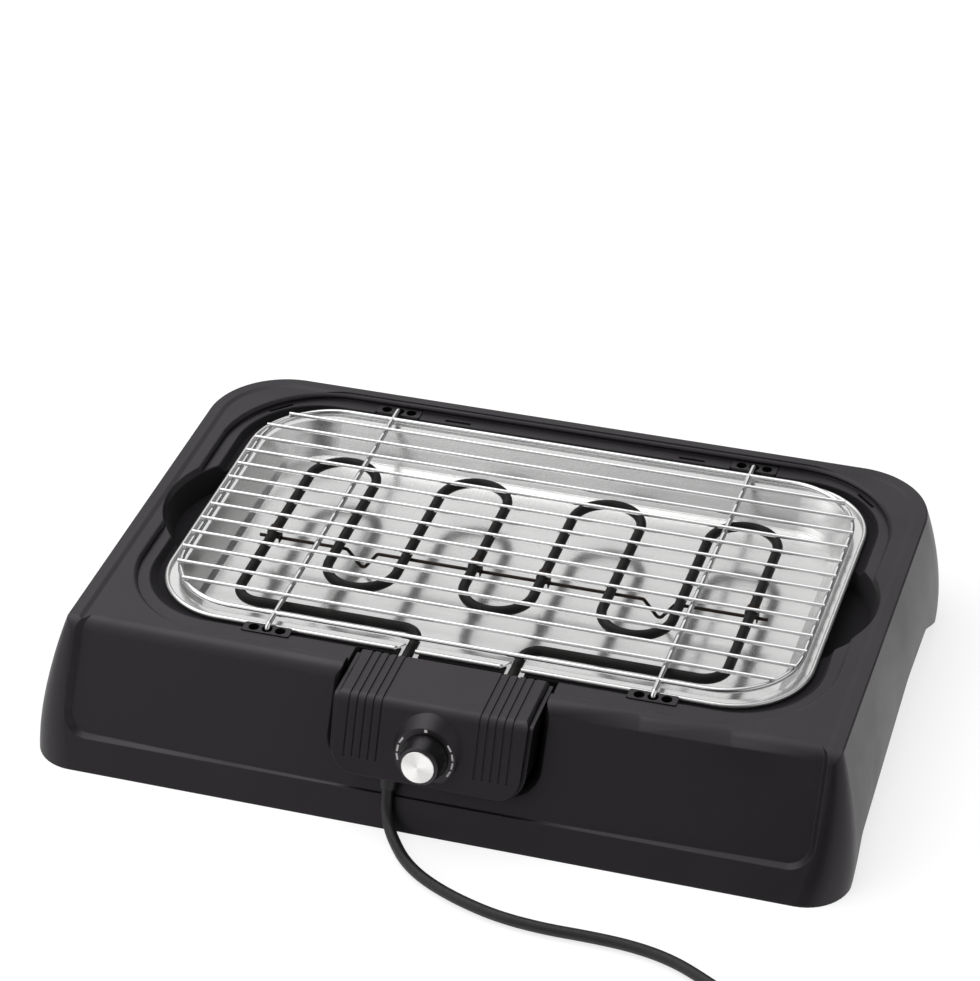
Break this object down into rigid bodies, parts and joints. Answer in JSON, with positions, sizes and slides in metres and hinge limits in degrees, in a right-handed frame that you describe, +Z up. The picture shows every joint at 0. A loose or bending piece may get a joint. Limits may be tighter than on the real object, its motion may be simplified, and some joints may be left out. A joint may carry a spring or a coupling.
{
  "type": "electric grill",
  "caption": "Open tabletop electric grill: wire grid in socket blocks over a tube heater, lift-out drip tray, control box with a dial, and a mains cord.",
  "frame": {"origin": "middle of the grill's footprint without its cord, on the table", "axes": "+X to the right seen from the dial, +Y to the back, +Z up"},
  "size_m": [0.5996, 0.5927, 0.0804],
  "materials": {
    "housing_plastic": "satin black",
    "block_plastic": "matt black",
    "tray_sheet": "polished",
    "element_tube": "matt black, heat treated",
    "dark_steel": "dark, heat treated",
    "plain_steel": "plain",
    "box_plastic": "satin black",
    "knob_plastic": "satin black",
    "knob_metal": "turned, silver",
    "pale_moulding": "pale",
    "lead_rubber": "insulated wire",
    "grid_chrome": "bright",
    "cord_rubber": "matt black",
    "tie_plastic": "matt black"
  },
  "bodies": {
    "housing": {"housing": "housing_plastic", "grid_block_front_left": "block_plastic", "grid_block_front_right": "block_plastic", "grid_block_back_left": "block_plastic", "grid_block_back_right": "block_plastic"},
    "tray": {"drip_tray": "tray_sheet"},
    "heater_unit": {"heating_element": "element_tube", "element_terminals": "plain_steel", "element_support_wire": "dark_steel", "element_clips": "dark_steel", "element_bracket": "plain_steel", "control_box_cover": "box_plastic", "control_box_base": "box_plastic", "box_screws": "plain_steel", "thermostat": "pale_moulding", "terminal_block": "pale_moulding", "lead_live": "lead_rubber", "lead_switched": "lead_rubber", "lead_neutral": "lead_rubber", "lead_earth": "lead_rubber", "cord_gland": "cord_rubber", "cord_inner": "cord_rubber", "cord_free": "cord_rubber", "cord_coil": "cord_rubber", "cord_tie": "tie_plastic", "cord_tail": "cord_rubber", "plug_body": "cord_rubber", "plug_pins": "plain_steel"},
    "knob": {"knob": "knob_plastic", "knob_cap": "knob_metal", "thermostat_shaft": "plain_steel"},
    "grid": {"grid_loop": "grid_chrome", "grid_bar_left": "grid_chrome", "grid_bar_right": "grid_chrome", "grid_wires": "grid_chrome"}
  },
  "joints": [
    {"name": "tray_lift", "type": "slide", "parent": "housing", "child": "tray", "axis": [0, 0, 1], "range_m": [0, 0.06]},
    {"name": "heater_lift", "type": "slide", "parent": "tray", "child": "heater_unit", "axis": [0, 0, 1], "range_m": [0, 0.06]},
    {"name": "grid_lift", "type": "slide", "parent": "heater_unit", "child": "grid", "axis": [0, 0, 1], "range_m": [0, 0.05]},
    {"name": "dial_turn", "type": "hinge", "parent": "heater_unit", "child": "knob", "pos_m": [0, -0.16227, 0.0515], "axis": [0, 0.9816, -0.1908], "range_deg": [0, 300]}
  ]
}
